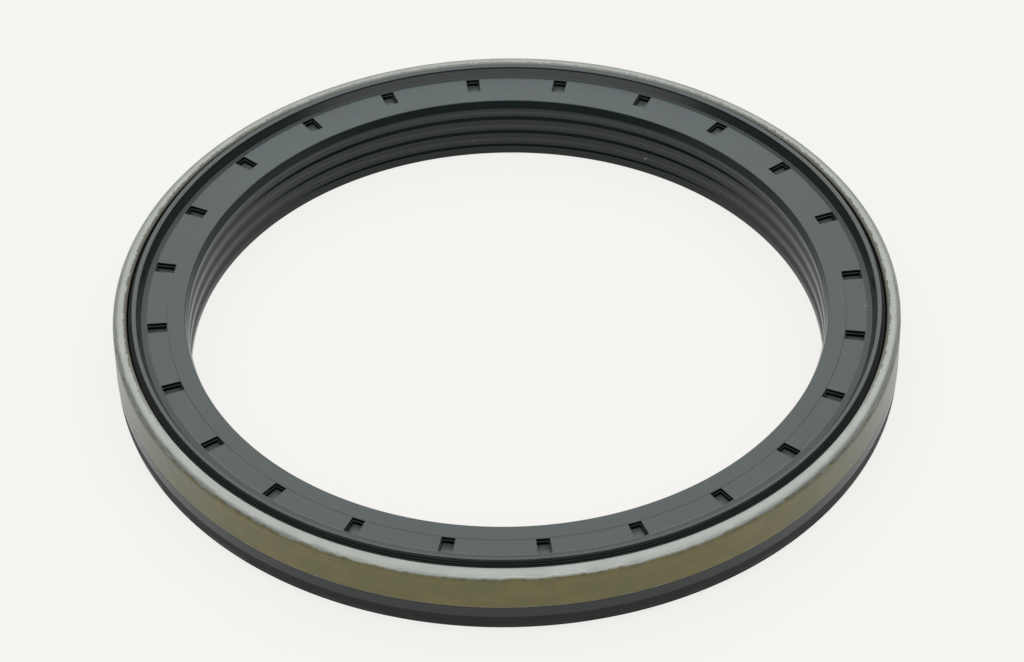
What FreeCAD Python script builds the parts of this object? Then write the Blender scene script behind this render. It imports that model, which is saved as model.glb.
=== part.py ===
import FreeCAD, Part
import math
import os

# Cassette shaft seal for a turning shaft: an outer case that is pressed into a housing, and an
# inner ring that grips the shaft and turns inside the case.
# Lengths are millimetres and angles are degrees. Every ring is turned about the Z axis.
# Height 0 is the inner ring's lower end, on which the seal lies. The face is at the top.

# What the seal fits: the shaft, the room from the shaft to the housing, and the width of the bore
shaft_diameter = 130.0
radial_room = 15.0
case_width = 14.5
case_lift = 0.6
collar_proud = 0.9

# Outer case: one drawn sheet, folded back on itself at the top and turned inwards to a web
case_sheet = 1.25
hem_gap = 0.4
rim_outer_round = 1.6
rim_inner_round = 0.45
case_bend = 0.8
seat_height = 8.2
seat_step = 1.0
seat_step_height = 0.9
web_drop = 5.5
web_to_sleeve = 3.8
case_end_gap = 0.8

# Rubber moulded onto the case: outer skin, heel, lining and lips
skin_taper_height = 4.0
skin_taper = 0.2
heel_height = 0.95
heel_chamfer = 0.9
lining = 0.65
web_rubber = 0.4
web_wrap = 1.9
lip_clearance = 0.2
lip_oil_slope = 41.0
lip_air_slope = 24.0
head_drop = 1.6
head_thickness = 3.4
head_chamfer = 0.4
head_shoulder = 0.4
neck_thickness = 1.2
neck_flare = 1.2
root_drop = 0.95
dust_lip_thickness = 0.55
dust_lip_rise = 0.4
dust_lip_tip = 0.28
face_lip_inset = 0.5
face_lip_thickness = 0.5
face_lip_lean = 0.7
running_gap = 0.3

# Garter spring that closes the main lip
spring_wire_circle = 1.7
spring_seat_play = 0.05

# Inner ring: a sheet sleeve with a flange above and a rolled toe below
bore_rubber = 1.4
sleeve_sheet = 1.0
sleeve_bend = 0.6
toe_reach = 1.9
toe_rubber = 0.35
toe_play = 0.75

# Rubber moulded onto the inner ring: ribbed bore, face, pockets and collar
bore_squeeze = 0.2
bore_lead = 0.3
rib_pitch = 3.73
first_valley_height = 3.05
valley_width = 2.4
valley_depth = 0.5
shortest_land = 0.5
bore_cone_drop = 1.85
bore_cone = 0.6
face_set_back = 0.85
land_rise = 0.1
channel_width = 4.15
channel_to_collar = 1.07
collar_dip = 0.4
pocket_count = 24
pocket_start_angle = 5.16
pocket_width = 2.75
pocket_depth = 1.6
pocket_ledge_depth = 0.75
pocket_ledge = 0.12
pocket_wall = 0.08
pocket_floor_skin = 0.2
collar_rise_width = 0.95
collar_rise_angle = 57.0
collar_bead = 0.1
collar_crown = 0.88
collar_crown_drop = 0.24
collar_flare = 0.7
collar_gap = 0.3
collar_groove_depth = 0.2
collar_groove_pitch = 0.42
collar_groove_count = 3
flange_edge_rubber = 1.6
flange_wrap = 3.4
underside_rubber = 0.45

# Corner roundings
sheet_edge_round = 0.15
seat_edge_round = 0.3
rubber_round = 0.2
fine_round = 0.1
crisp_round = 0.05
heel_round = 0.35
collar_foot_round = 0.4

AXIS_FOOT = FreeCAD.Vector(0, 0, 0)
AXIS = FreeCAD.Vector(0, 0, 1)

# Radii that follow from the sizes above, from the shaft outwards and from the housing inwards
shaft_r = shaft_diameter / 2
bore_r = shaft_r - bore_squeeze
face_inner_r = bore_r + bore_cone
sleeve_inner_r = shaft_r + bore_rubber
sleeve_r = sleeve_inner_r + sleeve_sheet
toe_r = sleeve_r + toe_reach
lip_contact_r = sleeve_r + lip_clearance
head_outer_r = lip_contact_r + head_thickness
web_hole_r = sleeve_r + web_to_sleeve

seat_r = shaft_r + radial_room
stepped_r = seat_r - seat_step
hem_inner_r = seat_r - 2 * case_sheet - hem_gap
collar_r = hem_inner_r - collar_gap
flange_r = collar_r - flange_edge_rubber
crown_out_r = collar_r - collar_flare
crown_in_r = crown_out_r - collar_crown
collar_in_r = crown_in_r - collar_bead
face_outer_r = collar_in_r - collar_rise_width
channel_out_r = face_outer_r - channel_to_collar
channel_in_r = channel_out_r - channel_width

# Heights that follow: the case, the face under its rim, and the sleeve between face and foot
case_bottom = case_lift
case_top = case_bottom + case_width
total_width = case_top + collar_proud
seat_low = case_top - seat_height
web_top = case_top - web_drop
web_bottom = web_top - case_sheet

face_height = case_top - face_set_back
land = face_height + land_rise
bore_land_end = land - bore_cone_drop
pocket_floor = face_height - pocket_depth
flange_top = pocket_floor - pocket_floor_skin
flange_bottom = flange_top - sleeve_sheet
cover_underside = flange_bottom - underside_rubber
toe_bottom = toe_rubber
toe_top = toe_bottom + sleeve_sheet

# The main lip hangs between the web above and the toe below
root_height = web_bottom - root_drop
head_bottom = toe_top + toe_play
lip_height = head_bottom + head_drop
spring_r = spring_wire_circle / 2
spring_centre_r = head_outer_r - spring_seat_play


def polar(radius, height):
    """A point of the section: distance from the axis, and height."""
    return FreeCAD.Vector(radius, 0, height)


def rounded_corner(before, corner, after, radius):
    """Ends and middle of the arc that rounds a corner, or the bare corner if it is sharp."""
    way_in = before.sub(corner)
    way_out = after.sub(corner)
    angle = way_in.getAngle(way_out)
    if radius <= 0 or angle > math.pi - 1e-3:
        return [corner]
    reach = radius / math.tan(angle / 2)
    longest = min(way_in.Length, way_out.Length) / 2
    if reach > longest:
        reach = longest
        radius = reach * math.tan(angle / 2)
    way_in.normalize()
    way_out.normalize()
    bisector = way_in.add(way_out).normalize()
    middle = corner.add(bisector * (radius / math.sin(angle / 2) - radius))
    return [corner.add(way_in * reach), middle, corner.add(way_out * reach)]


def section(corners):
    """Closed section through corners given as (radius, height) or (radius, height, rounding)."""
    points = [polar(c[0], c[1]) for c in corners]
    roundings = [c[2] if len(c) > 2 else 0 for c in corners]
    count = len(points)
    bends = [rounded_corner(points[i - 1], points[i], points[(i + 1) % count], roundings[i])
             for i in range(count)]
    edges = []
    for i, bend in enumerate(bends):
        if len(bend) == 3:
            edges.append(Part.Arc(*bend).toShape())
        start = bend[-1]
        end = bends[(i + 1) % count][0]
        if start.distanceToPoint(end) > 1e-6:
            edges.append(Part.LineSegment(start, end).toShape())
    return Part.Face(Part.Wire(edges))


def turned(corners):
    """Ring with the given section, turned once round the axis."""
    return section(corners).revolve(AXIS_FOOT, AXIS, 360)


def on_arc(centre_r, centre_z, radius, degrees):
    """Point on a circle of the section, at an angle from the outward direction."""
    turn = math.radians(degrees)
    return (centre_r + radius * math.cos(turn), centre_z + radius * math.sin(turn))


def outer_case():
    """Sheet case: stepped outer wall, folded rim, inner leg and web, one sheet throughout."""
    leg_outer_r = hem_inner_r + case_sheet
    wall_inner_r = seat_r - case_sheet
    fold_top = case_top - case_sheet
    end_height = case_bottom + case_end_gap
    step_low = seat_low - seat_step_height
    # The inner face of the step runs parallel to the outer one, a sheet away from it.
    step_angle = math.atan2(seat_step, seat_step_height)
    step_shift = case_sheet * math.tan(step_angle / 2)
    return turned([
        (stepped_r, end_height, sheet_edge_round),
        (stepped_r, step_low, case_bend),
        (seat_r, seat_low, seat_edge_round),
        (seat_r, case_top, rim_outer_round),
        (hem_inner_r, case_top, rim_inner_round),
        (hem_inner_r, web_top, case_bend),
        (web_hole_r, web_top, sheet_edge_round),
        (web_hole_r, web_bottom, sheet_edge_round),
        (leg_outer_r, web_bottom, case_bend + case_sheet),
        (leg_outer_r, fold_top, hem_gap / 2),
        (wall_inner_r, fold_top, hem_gap / 2),
        (wall_inner_r, seat_low + step_shift, case_bend),
        (stepped_r - case_sheet, step_low + step_shift, case_bend + case_sheet),
        (stepped_r - case_sheet, end_height, sheet_edge_round),
    ])


def sealing_element(case):
    """Rubber bonded to the case: outer skin, heel, lining, main lip and two dust lips."""
    skin_low = case_bottom + heel_height
    taper_top = case_bottom + skin_taper_height
    lining_r = stepped_r - case_sheet - lining
    lining_top = web_bottom - lining
    bend_centre_r = hem_inner_r - case_bend
    bend_centre_z = web_top + case_bend
    wall_middle_r = seat_r - case_sheet / 2
    leg_middle_r = hem_inner_r + case_sheet / 2
    web_middle = (web_top + web_bottom) / 2
    block_top = web_top + web_rubber
    air_lean = math.tan(math.radians(lip_air_slope))
    oil_lean = math.tan(math.radians(lip_oil_slope))
    lip_root_r = lip_contact_r + (root_height - lip_height) * air_lean
    neck_r = lip_root_r + neck_thickness
    neck_foot = lip_height + spring_r + head_shoulder
    neck_middle = (neck_foot + root_height) / 2
    head_toe_r = lip_contact_r + head_drop * oil_lean
    face_lip_tip = cover_underside - running_gap
    face_lip_r = web_hole_r + face_lip_inset
    dust_foot = block_top - dust_lip_thickness
    dust_tip = block_top + dust_lip_rise
    # The outline is closed inside the case's sheet, along its middle, and the case is cut away.
    body = turned([
        (seat_r, seat_low),
        (seat_r, taper_top, rubber_round),
        (seat_r - skin_taper, skin_low, rubber_round),
        (seat_r - skin_taper - heel_chamfer, case_bottom, rubber_round),
        (lining_r, case_bottom, heel_round),
        (lining_r, lining_top, case_bend),
        (web_hole_r + web_wrap, lining_top, case_bend),
        (neck_r, neck_middle, neck_flare),
        (neck_r, neck_foot, rubber_round),
        (head_outer_r, neck_foot, rubber_round),
        (head_outer_r, head_bottom + head_chamfer, rubber_round),
        (head_outer_r - head_chamfer, head_bottom, rubber_round),
        (head_toe_r, head_bottom, rubber_round),
        (lip_contact_r, lip_height),
        (lip_root_r, root_height, rubber_round),
        (lip_root_r, dust_foot, rubber_round),
        (lip_contact_r, dust_tip - dust_lip_tip),
        (lip_contact_r + dust_lip_tip, dust_tip, fine_round),
        (lip_root_r + dust_lip_thickness, block_top, rubber_round),
        (face_lip_r, block_top, rubber_round),
        (face_lip_r + face_lip_lean, face_lip_tip, fine_round),
        (face_lip_r + face_lip_lean + face_lip_thickness, face_lip_tip, fine_round),
        (face_lip_r + face_lip_thickness, block_top, rubber_round),
        (web_hole_r + web_wrap, block_top, rubber_round),
        (web_hole_r + web_wrap, web_middle),
        (bend_centre_r, web_middle),
        on_arc(bend_centre_r, bend_centre_z, case_bend + case_sheet / 2, -45),
        (leg_middle_r, bend_centre_z),
        (wall_middle_r, bend_centre_z),
        (wall_middle_r, seat_low),
    ])
    groove = Part.makeTorus(spring_centre_r, spring_r + spring_seat_play, polar(0, lip_height), AXIS)
    return body.cut(case).cut(groove)


def garter_spring():
    """Closed ring of the spring's outer size, lying in the groove of the main lip."""
    return Part.makeTorus(spring_centre_r, spring_r, polar(0, lip_height), AXIS)


def running_sleeve():
    """Sheet sleeve: flange above, running surface for the lips, and a rolled toe below."""
    outer_bend = sleeve_bend + sleeve_sheet
    return turned([
        (toe_r, toe_bottom, sheet_edge_round),
        (toe_r, toe_top, sheet_edge_round),
        (sleeve_r, toe_top, sleeve_bend),
        (sleeve_r, flange_bottom, sleeve_bend),
        (flange_r, flange_bottom, sheet_edge_round),
        (flange_r, flange_top, sheet_edge_round),
        (sleeve_inner_r, flange_top, outer_bend),
        (sleeve_inner_r, toe_bottom, outer_bend),
    ])


def bore_valleys():
    """Rounded valleys between the ribs of the bore, as rings to cut away."""
    half = valley_width / 2
    radius = (half ** 2 + valley_depth ** 2) / (2 * valley_depth)
    centre_r = bore_r + valley_depth - radius
    highest = bore_land_end - shortest_land - half
    count = int((highest - first_valley_height) / rib_pitch) + 1
    heights = [first_valley_height + i * rib_pitch for i in range(count)]
    return [Part.makeTorus(centre_r, radius, polar(0, z), AXIS) for z in heights]


def pocket():
    """One open pocket of the face at angle zero: a wide mouth over a slightly smaller well."""
    inner_r = channel_in_r + pocket_wall
    outer_r = channel_out_r - pocket_wall
    ledge_height = face_height - pocket_ledge_depth
    mean_r = (inner_r + outer_r) / 2

    def sector(inset, low, high):
        width = pocket_width - 2 * inset
        angle = math.degrees(width / mean_r)
        profile = section([(inner_r + inset, low), (outer_r - inset, low),
                           (outer_r - inset, high), (inner_r + inset, high)])
        profile.rotate(AXIS_FOOT, AXIS, -angle / 2)
        return profile.revolve(AXIS_FOOT, AXIS, angle)

    mouth = sector(0, ledge_height, land)
    well = sector(pocket_ledge, pocket_floor, ledge_height)
    return mouth.fuse(well)


def collar_outer_wall(top):
    """Outer wall of the collar from its foot up to its crown: a plain wall under fine grooves."""
    flare = (collar_r - crown_out_r) / collar_groove_count
    wall = []
    for i in range(collar_groove_count):
        ridge_r = crown_out_r + i * flare
        groove_height = top - (i + 0.5) * collar_groove_pitch
        ridge_height = top - (i + 1) * collar_groove_pitch
        wall.append((ridge_r - collar_groove_depth, groove_height, crisp_round))
        wall.append((ridge_r + flare, ridge_height, crisp_round))
    return wall[::-1]


def inner_ring_cover(sleeve):
    """Rubber bonded to the sleeve: ribbed bore, face with pockets, and the raised collar."""
    dip_height = land - collar_dip
    slope_top = dip_height + collar_rise_width * math.tan(math.radians(collar_rise_angle))
    crown_in_height = total_width - collar_crown_drop
    crown_out_height = total_width - collar_bead
    sleeve_middle_r = sleeve_r - sleeve_sheet / 2
    flange_middle = flange_top - sleeve_sheet / 2
    toe_middle = toe_bottom + sleeve_sheet / 2
    bend = sleeve_bend + sleeve_sheet / 2
    bend_r = sleeve_r + sleeve_bend
    low_bend_z = toe_top + sleeve_bend
    high_bend_z = flange_bottom - sleeve_bend
    # The outline is closed inside the sleeve's sheet, along its middle, and the sleeve is cut away.
    body = turned([
        (bore_r + bore_lead, 0, fine_round),
        (toe_r - toe_rubber - rubber_round, 0, rubber_round),
        (toe_r - toe_rubber, toe_middle),
        (bend_r, toe_middle),
        on_arc(bend_r, low_bend_z, bend, -135),
        (sleeve_middle_r, low_bend_z),
        (sleeve_middle_r, high_bend_z),
        on_arc(bend_r, high_bend_z, bend, 135),
        (bend_r, flange_middle),
        (flange_r - flange_wrap, flange_middle),
        (flange_r - flange_wrap, cover_underside, fine_round),
        (collar_r, cover_underside, collar_foot_round),
    ] + collar_outer_wall(crown_out_height) + [
        (crown_out_r, crown_out_height, crisp_round),
        (crown_out_r - collar_bead, total_width, crisp_round),
        (crown_in_r, crown_in_height, fine_round),
        (collar_in_r, slope_top + collar_bead),
        (collar_in_r, slope_top),
        (face_outer_r, dip_height, fine_round),
        (channel_out_r, land, crisp_round),
        (channel_out_r, face_height, crisp_round),
        (channel_in_r, face_height, crisp_round),
        (channel_in_r, land, crisp_round),
        (face_inner_r, land, rubber_round),
        (bore_r, bore_land_end, fine_round),
        (bore_r, bore_lead, fine_round),
    ])
    cover = body.cut(sleeve).cut(bore_valleys())
    first = pocket()
    pitch = 360.0 / pocket_count
    pockets = []
    for i in range(pocket_count):
        copy = first.copy()
        copy.rotate(AXIS_FOOT, AXIS, pocket_start_angle + i * pitch)
        pockets.append(copy)
    return cover.cut(pockets)


def write_piece(name, shape):
    """Writes one piece as a single clean solid and says how large it is."""
    solids = shape.Solids
    if len(solids) != 1 or not shape.isValid():
        print("look at", name, len(solids), "solids, valid:", shape.isValid())
    shape.exportStep("parts/" + name + ".step")
    box = shape.BoundBox
    print("%-18s %9.1f mm3  height %.2f to %.2f" % (name, shape.Volume, box.ZMin, box.ZMax))


def main():
    os.makedirs("parts", exist_ok=True)
    case = outer_case()
    sleeve = running_sleeve()
    pieces = {
        "outer_case": case,
        "sealing_element": sealing_element(case),
        "garter_spring": garter_spring(),
        "running_sleeve": sleeve,
        "inner_ring_cover": inner_ring_cover(sleeve),
    }
    for name, shape in pieces.items():
        write_piece(name, shape)


main()
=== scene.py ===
# %% [markdown]
# # A cassette shaft seal
#
# Two rings turn inside one another. The outer ring is a folded sheet steel case with rubber
# bonded to it, and is pressed into a housing. The inner ring is a steel sleeve under grey
# moulded rubber, and grips the shaft. Almost every surface is a ring of revolution, so this
# notebook draws sections, turns them round the axis, and then spends its effort on the small
# things that repeat round the ring and on the finishes.

# %% Tools and the fixed frame
import math

import bmesh
import bpy
from mathutils import Matrix, Vector


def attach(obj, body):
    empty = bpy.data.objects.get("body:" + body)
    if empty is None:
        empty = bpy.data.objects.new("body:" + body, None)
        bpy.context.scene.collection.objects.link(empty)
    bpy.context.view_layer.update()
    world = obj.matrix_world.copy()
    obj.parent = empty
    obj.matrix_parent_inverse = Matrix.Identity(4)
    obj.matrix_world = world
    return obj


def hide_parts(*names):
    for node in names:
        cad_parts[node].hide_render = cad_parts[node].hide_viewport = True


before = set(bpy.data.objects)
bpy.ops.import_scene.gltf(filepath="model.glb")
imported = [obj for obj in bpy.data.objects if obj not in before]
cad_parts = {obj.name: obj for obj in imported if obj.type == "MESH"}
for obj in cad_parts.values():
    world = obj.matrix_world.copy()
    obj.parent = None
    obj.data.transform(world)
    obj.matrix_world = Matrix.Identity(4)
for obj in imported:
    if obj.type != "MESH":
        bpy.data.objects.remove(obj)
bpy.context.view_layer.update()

# %% [markdown]
# ## Camera
#
# The photograph was taken with a long lens from above the front of the ring. The camera is
# built from the numbers that such a photograph gives: how far away it stood, how high, how
# far it was tipped sideways, and how far the middle of the lens lies from the middle of the
# picture. A long lens matters here. With a short one the near rim would look much wider than
# the far one.

# %% Camera
mm = 0.001
look_at = Vector((0, 0, 8 * mm))
camera_distance = 830.9 * mm
camera_elevation = math.radians(41.664)
camera_roll = math.radians(-0.953)

camera_data = bpy.data.cameras.new("camera")
camera_data.sensor_width = 36
camera_data.lens = 142.88
camera_data.shift_x = 0.0050
camera_data.shift_y = -0.0068
camera_data.clip_start = 0.05
camera_data.clip_end = 20
camera = bpy.data.objects.new("camera", camera_data)
bpy.context.scene.collection.objects.link(camera)
bpy.context.scene.camera = camera

towards_camera = Vector((0, -math.cos(camera_elevation), math.sin(camera_elevation)))
camera.matrix_world = (
    Matrix.Translation(look_at + towards_camera * camera_distance)
    @ towards_camera.to_track_quat("Z", "Y").to_matrix().to_4x4()
    @ Matrix.Rotation(camera_roll, 4, "Z")
)
print("camera at", tuple(round(v, 4) for v in camera.matrix_world.translation))

# %% [markdown]
# ## Helpers for node trees
#
# Both the finishes and the repeating shapes are node trees. Two small helpers keep them
# readable: one places a node and feeds its inputs, the other does one step of arithmetic.

# %% Node helpers
def wire(tree, value, socket):
    """Feeds an input from another node's output, or sets it to a plain value."""
    if isinstance(value, bpy.types.NodeSocket):
        tree.links.new(value, socket)
    elif value is not None:
        socket.default_value = value


def add(tree, kind, place, values=None, **settings):
    """New node of a tree at a place on the sheet. Its values are plain or other nodes' outputs."""
    node = tree.nodes.new(kind)
    node.location = place
    for key, value in settings.items():
        setattr(node, key, value)
    for socket, value in (values or {}).items():
        wire(tree, value, node.inputs[socket])
    return node


def calculate(tree, operation, place, *values, clamp=False):
    """Math node on up to three values. Returns its result."""
    node = add(tree, "ShaderNodeMath", place, dict(enumerate(values)), operation=operation, use_clamp=clamp)
    return node.outputs[0]


def new_group(name, inputs, outputs, kind="ShaderNodeTree"):
    """Node group with named sockets. Inputs are (name, socket type, value)."""
    tree = bpy.data.node_groups.new(name, kind)
    for label, socket, value in inputs:
        made = tree.interface.new_socket(label, in_out="INPUT", socket_type=socket)
        if value is not None:
            made.default_value = value
    for label, socket in outputs:
        tree.interface.new_socket(label, in_out="OUTPUT", socket_type=socket)
    asked_sockets = add(tree, "NodeGroupInput", (-1600, 0)).outputs
    given_sockets = add(tree, "NodeGroupOutput", (900, 0)).inputs
    return tree, asked_sockets, given_sockets

# %% [markdown]
# ## Where on the ring
#
# Everything on this object is laid out round an axis, so its finishes are too: streaks run
# round the ring, coatings end at a height, dirt gathers at a radius. The first shader group
# turns the position on the piece into a radius and a height in millimetres, and into a
# direction round the axis. The direction is a point on a unit circle, not an angle, because
# an angle jumps from 360 to 0 and would leave a seam.

# %% Group: place on the ring
ring_place, _, given = new_group("Place on the ring", [], [
    ("Radius", "NodeSocketFloat"), ("Height", "NodeSocketFloat"), ("Round", "NodeSocketVector"),
    ("Position", "NodeSocketVector")])
object_place = add(ring_place, "ShaderNodeTexCoord", (-1400, 0)).outputs["Object"]
in_mm = add(ring_place, "ShaderNodeVectorMath", (-1200, 0), operation="SCALE",
            values={0: object_place, "Scale": 1000}).outputs[0]
parts = add(ring_place, "ShaderNodeSeparateXYZ", (-1000, -100), values={0: in_mm}).outputs
flat = add(ring_place, "ShaderNodeCombineXYZ", (-800, 0), values={"X": parts[0], "Y": parts[1]}).outputs[0]
length = add(ring_place, "ShaderNodeVectorMath", (-600, 100), operation="LENGTH", values={0: flat})
unit = add(ring_place, "ShaderNodeVectorMath", (-600, -100), operation="NORMALIZE", values={0: flat})
wire(ring_place, length.outputs["Value"], given["Radius"])
wire(ring_place, parts[2], given["Height"])
wire(ring_place, unit.outputs[0], given["Round"])
wire(ring_place, in_mm, given["Position"])

# %% [markdown]
# ## A soft band
#
# Most changes of finish on the seal happen between two radii or two heights. This group
# gives 1 inside a band and 0 outside it, with a soft step at each side.

# %% Group: band
band_group, asked, given = new_group("Band", [
    ("Value", "NodeSocketFloat", 0.0), ("From", "NodeSocketFloat", 0.0),
    ("To", "NodeSocketFloat", 1.0), ("Blur", "NodeSocketFloat", 0.1)],
    [("Mask", "NodeSocketFloat")])
half_blur = calculate(band_group, "MULTIPLY", (-1400, -200), asked["Blur"], 0.5)
sides = []
for row, edge in enumerate(("From", "To")):
    step = add(band_group, "ShaderNodeMapRange", (-800, -250 * row), interpolation_type="SMOOTHSTEP", values={
        "Value": asked["Value"],
        "From Min": calculate(band_group, "SUBTRACT", (-1100, -250 * row), asked[edge], half_blur),
        "From Max": calculate(band_group, "ADD", (-1100, -250 * row - 120), asked[edge], half_blur)})
    sides.append(step.outputs["Result"])
outside = calculate(band_group, "SUBTRACT", (-500, -250), 1.0, sides[1])
wire(band_group, calculate(band_group, "MULTIPLY", (-300, 0), sides[0], outside), given["Mask"])

# %% [markdown]
# ## Marks that run round the ring
#
# A turned mould and a drawing tool leave the same kind of mark: fine across, long along. A
# noise texture is stretched by giving it fine steps of radius and height, but only slow
# steps of direction. The fourth dimension of the noise takes the second half of the
# direction, so that the pattern closes on itself.

# %% Group: turning marks
marks_group, asked, given = new_group("Turning marks", [
    ("Fineness", "NodeSocketFloat", 3.0), ("Wander", "NodeSocketFloat", 2.0),
    ("Detail", "NodeSocketFloat", 3.0)], [("Value", "NodeSocketFloat")])
where = add(marks_group, "ShaderNodeGroup", (-1400, 200), node_tree=ring_place).outputs
facing = add(marks_group, "ShaderNodeSeparateXYZ", (-1200, -200), values={0: where["Round"]}).outputs
fine_r = calculate(marks_group, "MULTIPLY", (-1000, 250), where["Radius"], asked["Fineness"])
fine_z = calculate(marks_group, "MULTIPLY", (-1000, 100), where["Height"], asked["Fineness"])
slow_x = calculate(marks_group, "MULTIPLY", (-1000, -50), facing[0], asked["Wander"])
slow_y = calculate(marks_group, "MULTIPLY", (-1000, -250), facing[1], asked["Wander"])
across = add(marks_group, "ShaderNodeCombineXYZ", (-800, 100), values={"X": fine_r, "Y": fine_z, "Z": slow_x})
streaks = add(marks_group, "ShaderNodeTexNoise", (-500, 100), noise_dimensions="4D", values={
    "Vector": across.outputs[0], "W": slow_y, "Detail": asked["Detail"], "Scale": 1.0, "Roughness": 0.6})
wire(marks_group, streaks.outputs["Fac"], given["Value"])

# %% [markdown]
# ## Clouds and grain
#
# Moulded rubber and a brushed-on coating are never one even tone. One group gives a slow
# cloud, for colour, and a fine grain, for the roughness and for a small bump, both measured
# in millimetres.

# %% Group: cloud and grain
cloud_group, asked, given = new_group("Cloud and grain", [
    ("Cloud size", "NodeSocketFloat", 12.0), ("Grain size", "NodeSocketFloat", 0.25)],
    [("Cloud", "NodeSocketFloat"), ("Grain", "NodeSocketFloat")])
where = add(cloud_group, "ShaderNodeGroup", (-1400, 200), node_tree=ring_place).outputs
for row, (label, socket, detail) in enumerate((("Cloud size", "Cloud", 5.0), ("Grain size", "Grain", 2.0))):
    noise = add(cloud_group, "ShaderNodeTexNoise", (-600, -300 * row), values={
        "Vector": where["Position"], "Detail": detail,
        "Scale": calculate(cloud_group, "DIVIDE", (-900, -300 * row), 1.0, asked[label])})
    wire(cloud_group, noise.outputs["Fac"], given[socket])

# %% [markdown]
# ## Small spots at a place
#
# A few crumbs of dust and small dents sit at definite places. The group gives a round mask
# at a point, with a ragged edge, so each spot can be set one by one like a dab of paint.

# %% Group: spot
spot_group, asked, given = new_group("Spot", [
    ("Centre", "NodeSocketVector", (0, 0, 0)), ("Size", "NodeSocketFloat", 0.3)],
    [("Mask", "NodeSocketFloat")])
where = add(spot_group, "ShaderNodeGroup", (-1400, 200), node_tree=ring_place).outputs["Position"]
rough_edge = add(spot_group, "ShaderNodeTexNoise", (-1100, -200), values={"Vector": where, "Scale": 3.0})
away = add(spot_group, "ShaderNodeVectorMath", (-1100, 200), operation="DISTANCE",
           values={0: where, 1: asked["Centre"]})
ragged = calculate(spot_group, "MULTIPLY_ADD", (-800, -200), rough_edge.outputs["Fac"], 0.8, 0.6)
reach = calculate(spot_group, "MULTIPLY", (-600, -100), asked["Size"], ragged)
half_reach = calculate(spot_group, "MULTIPLY", (-450, -250), reach, 0.5)
fade = add(spot_group, "ShaderNodeMapRange", (-300, 100), interpolation_type="SMOOTHSTEP", values={
    "Value": away.outputs["Value"], "From Min": half_reach, "From Max": reach, "To Min": 1.0, "To Max": 0.0})
wire(spot_group, fade.outputs["Result"], given["Mask"])
print("shader groups:", [g.name for g in bpy.data.node_groups])


# %% [markdown]
# ## Material helpers
#
# Each finish starts from one even surface and is then painted over in layers, the way the
# real one came about: moulded, handled, stained. A layer is a mask and what it puts there.

# %% Material helpers
def linear(code):
    """Colour for a socket from the six digits that a picture program shows."""
    values = [int(code[i:i + 2], 16) / 255 for i in (0, 2, 4)]
    return tuple(v / 12.92 if v <= 0.04045 else ((v + 0.055) / 1.055) ** 2.4 for v in values) + (1.0,)


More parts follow.
